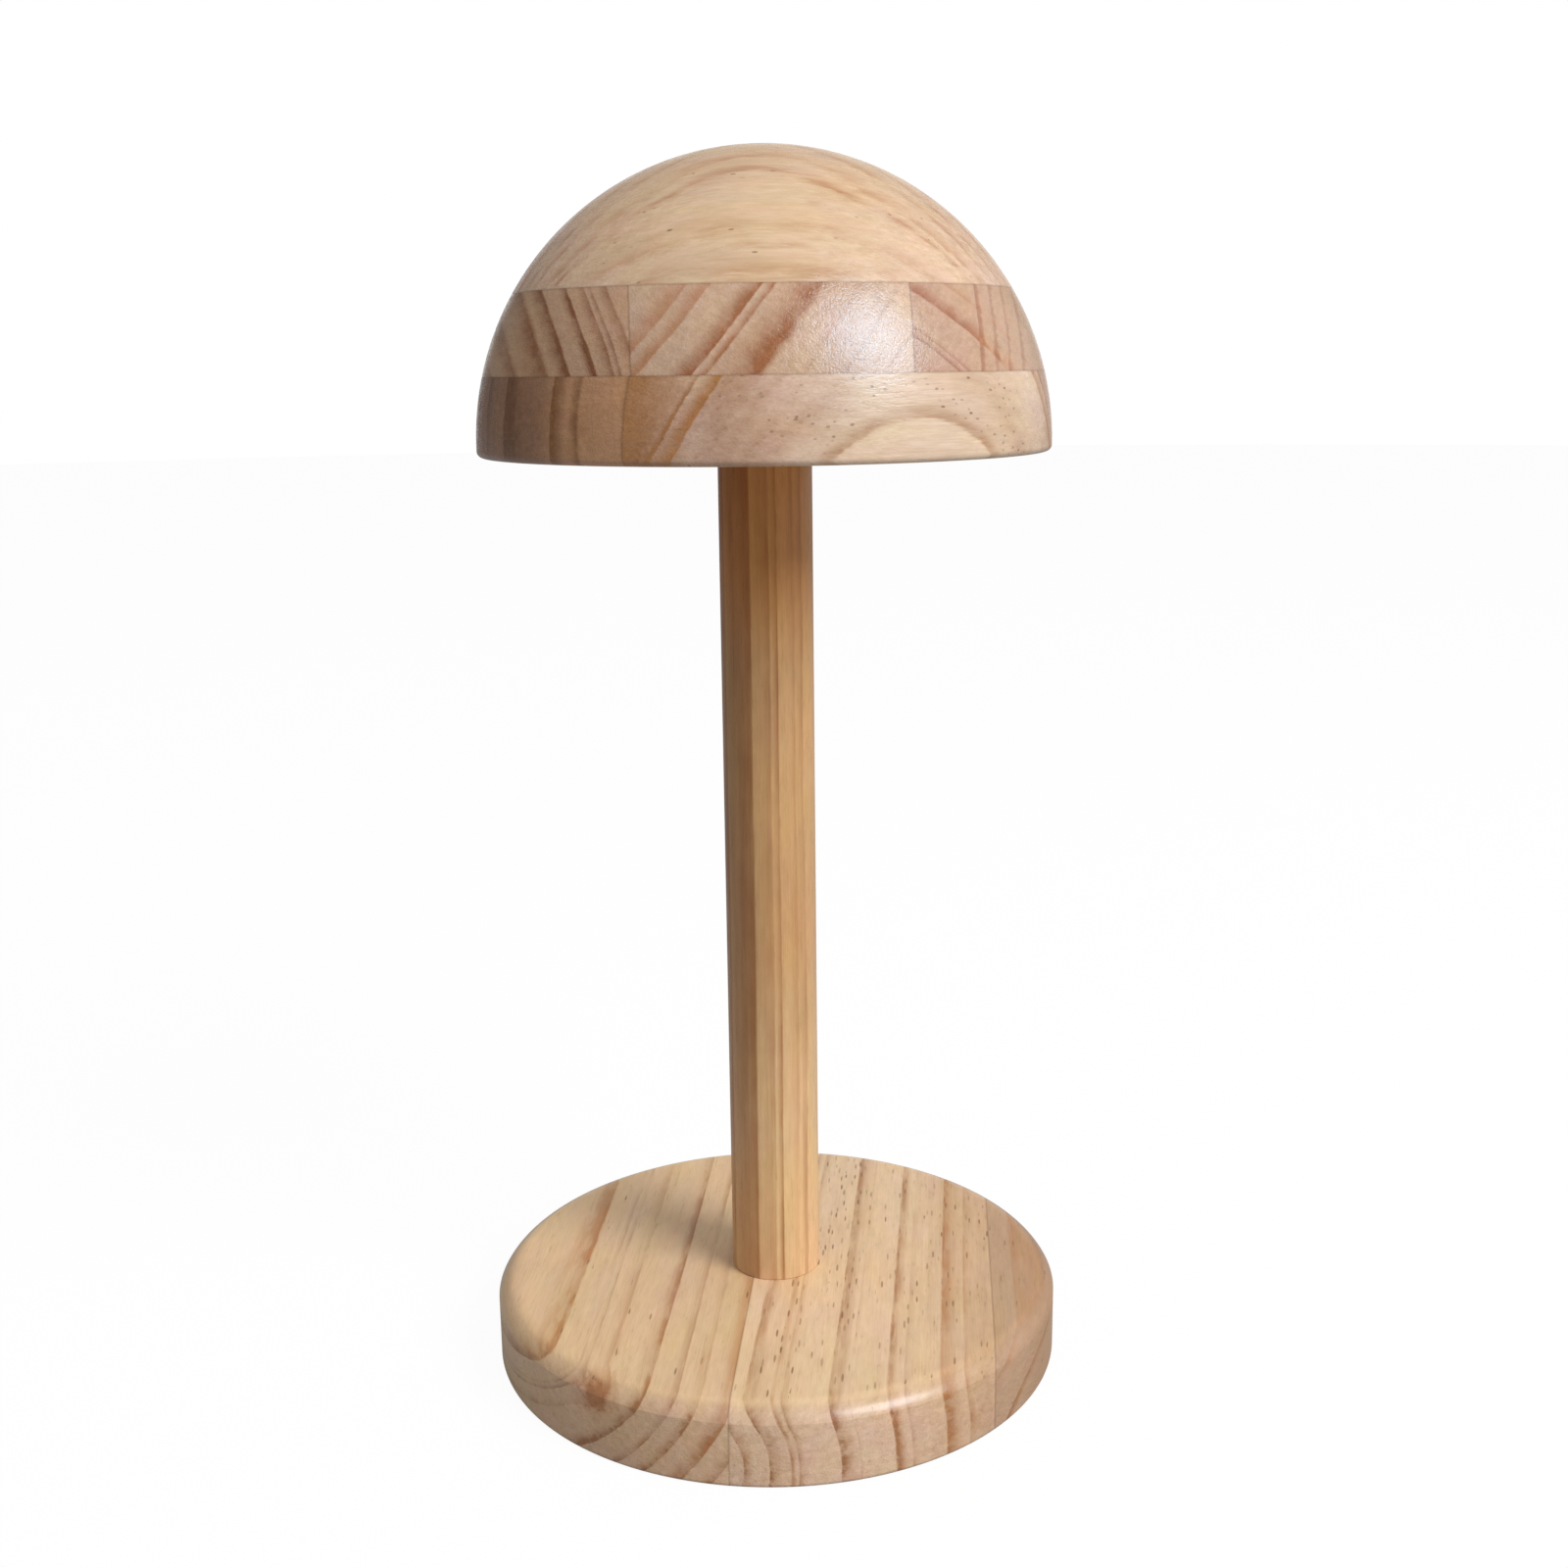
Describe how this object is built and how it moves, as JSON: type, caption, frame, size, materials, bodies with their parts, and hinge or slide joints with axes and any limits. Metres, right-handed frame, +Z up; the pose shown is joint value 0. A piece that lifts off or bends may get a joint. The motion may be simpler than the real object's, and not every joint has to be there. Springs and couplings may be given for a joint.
{
  "type": "hat stand",
  "caption": "Tabletop hat stand in laminated pine: a round base, a straight dowel post and a solid turned dome that a hat rests on.",
  "frame": {"origin": "centre of the base's underside, where the stand rests", "axes": "+Z up along the post, -Y towards the front of the stand as pictured, +X to the right"},
  "size_m": [0.16, 0.16, 0.331],
  "materials": {
    "base_pine": "pine with lengthwise growth rings and resin dashes, clear satin varnish",
    "post_pine": "pine dowel with straight grain along its length, clear satin varnish",
    "dome_lower_pine": "pine, face grain at the front and end grain at the side, clear satin varnish",
    "dome_middle_pine": "pine end grain facing front and back, pinkish brown, clear satin varnish",
    "dome_cap_pine": "pale pine with low-contrast arched grain, clear satin varnish",
    "zinc_plated_steel": "bright zinc plate",
    "insert_brass": "plain machined"
  },
  "bodies": {
    "root": {"base_board_left": "base_pine", "base_board_middle": "base_pine", "base_board_right": "base_pine", "base_bolt": "zinc_plated_steel", "post": "post_pine", "post_insert": "insert_brass", "dome_stud": "zinc_plated_steel", "dome_lower_board_back": "dome_lower_pine", "dome_lower_board_middle": "dome_lower_pine", "dome_lower_board_front": "dome_lower_pine", "dome_middle_board_left": "dome_middle_pine", "dome_middle_board_centre": "dome_middle_pine", "dome_middle_board_right": "dome_middle_pine", "dome_cap": "dome_cap_pine", "dome_insert": "insert_brass"}
  },
  "joints": []
}
